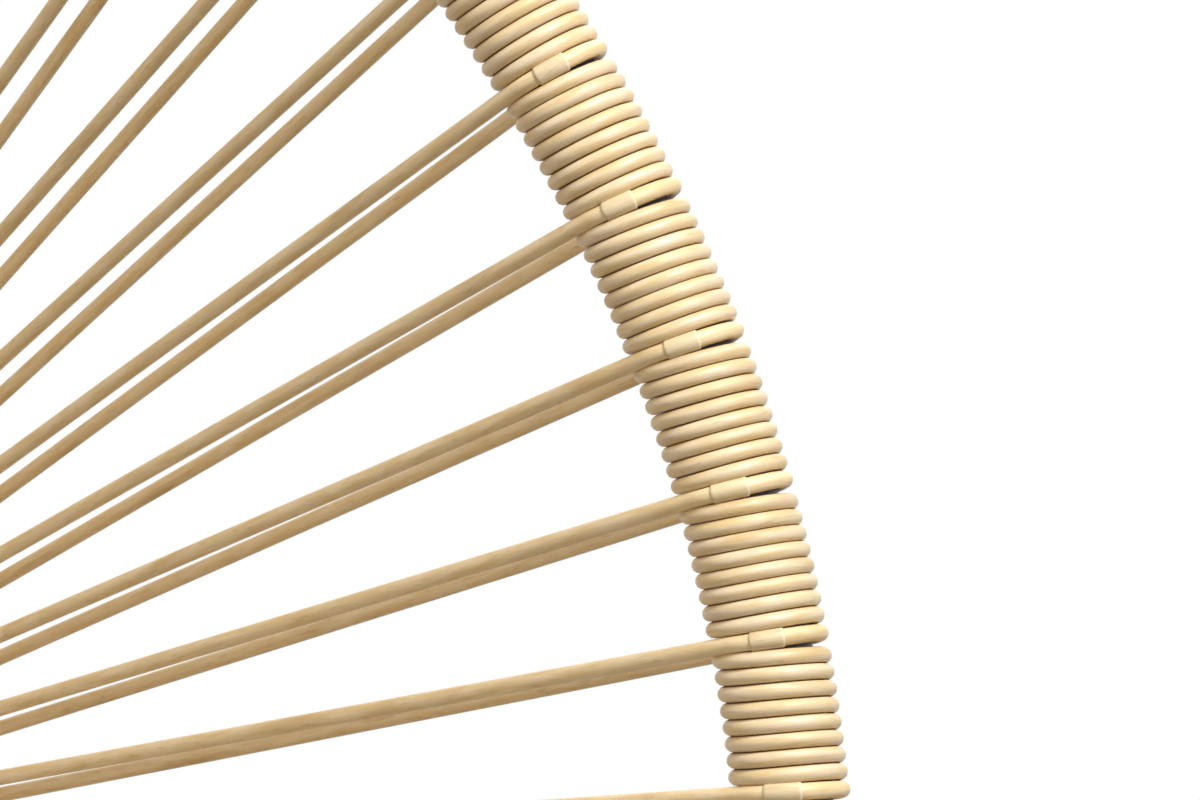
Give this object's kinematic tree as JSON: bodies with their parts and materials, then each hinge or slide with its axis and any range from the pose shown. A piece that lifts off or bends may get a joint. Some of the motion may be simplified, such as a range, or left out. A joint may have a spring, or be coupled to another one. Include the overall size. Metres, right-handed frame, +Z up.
{
  "type": "hanging egg chair",
  "caption": "Hanging egg chair: egg-shaped steel rim wound with round cane and laced to a hub ring, hung by a spring, swivel and snap hook from an arched floor stand.",
  "frame": {"origin": "on the floor, at the centre of the round base", "axes": "+Z up; the chair faces -Y, so +X is at the right of someone who looks at its front; the post stands at +Y"},
  "size_m": [1.0952, 1.0952, 1.9022],
  "materials": {
    "cane": "satin",
    "coated_steel": "satin",
    "zinc": "satin",
    "rubber": "matte"
  },
  "bodies": {
    "stand": {"base_ring_right": "coated_steel", "base_ring_left": "coated_steel", "ring_spigot_front": "zinc", "ring_spigot_rear": "zinc", "base_cross_tube": "coated_steel", "foot_1": "rubber", "foot_2": "rubber", "foot_3": "rubber", "foot_4": "rubber", "post_socket": "coated_steel", "socket_bolt": "zinc", "post_lower": "coated_steel", "post_joint_spigot": "zinc", "post_bolt_lower": "zinc", "post_bolt_upper": "zinc", "post_upper": "coated_steel", "arch_end_cap": "rubber", "stand_lug": "coated_steel"},
    "link": {"quick_link": "zinc", "quick_link_nut": "zinc"},
    "spring_head": {"spring_top_plug": "zinc", "coil_spring": "coated_steel"},
    "spring_tail": {"spring_bottom_plug": "zinc"},
    "swivel": {"swivel_pin": "zinc", "snap_hook": "zinc"},
    "gate": {"snap_hook_gate": "zinc"},
    "chair": {"rim_tube_right": "coated_steel", "rim_tube_left": "coated_steel", "rim_winding_01": "cane", "rim_winding_02": "cane", "rim_winding_03": "cane", "rim_winding_04": "cane", "rim_winding_05": "cane", "rim_winding_06": "cane", "rim_winding_07": "cane", "rim_winding_08": "cane", "rim_winding_09": "cane", "rim_winding_10": "cane", "rim_winding_11": "cane", "rim_winding_12": "cane", "strands_01": "cane", "strands_02": "cane", "strands_03": "cane", "strands_04": "cane", "strands_05": "cane", "strands_06": "cane", "strands_07": "cane", "strands_08": "cane", "strands_09": "cane", "strands_10": "cane", "strands_11": "cane", "strands_12": "cane", "hub_ring": "coated_steel", "spoke_top": "coated_steel", "spoke_right": "coated_steel", "spoke_bottom": "coated_steel", "spoke_left": "coated_steel", "chair_lug": "coated_steel"}
  },
  "joints": [
    {"name": "swing", "type": "hinge", "parent": "stand", "child": "link", "pos_m": [0, -0.05, 1.83594], "axis": [1, 0, 0], "range_deg": [-14, 6]},
    {"name": "sway", "type": "hinge", "parent": "link", "child": "spring_head", "pos_m": [0, -0.05, 1.79317], "axis": [0, 1, 0], "range_deg": [-8, 8]},
    {"name": "bounce", "type": "slide", "parent": "spring_head", "child": "spring_tail", "axis": [0, 0, 1], "range_m": [-0.04, 0], "stiffness_N_per_m": 25000, "springref_m": 0.004, "deforming": ["coil_spring"]},
    {"name": "turn", "type": "hinge", "parent": "spring_tail", "child": "swivel", "pos_m": [0, -0.05, 1.67577], "axis": [0, 0, 1], "range_deg": [-60, 60]},
    {"name": "gate_open", "type": "hinge", "parent": "swivel", "child": "gate", "pos_m": [0.016, -0.05, 1.60603], "axis": [0, -1, 0], "range_deg": [0, 25], "stiffness_Nm_per_rad": 0.05, "springref_deg": -20.05},
    {"name": "tilt", "type": "hinge", "parent": "swivel", "child": "chair", "pos_m": [0, -0.05, 1.58443], "axis": [1, 0, 0], "range_deg": [-8, 8]}
  ]
}
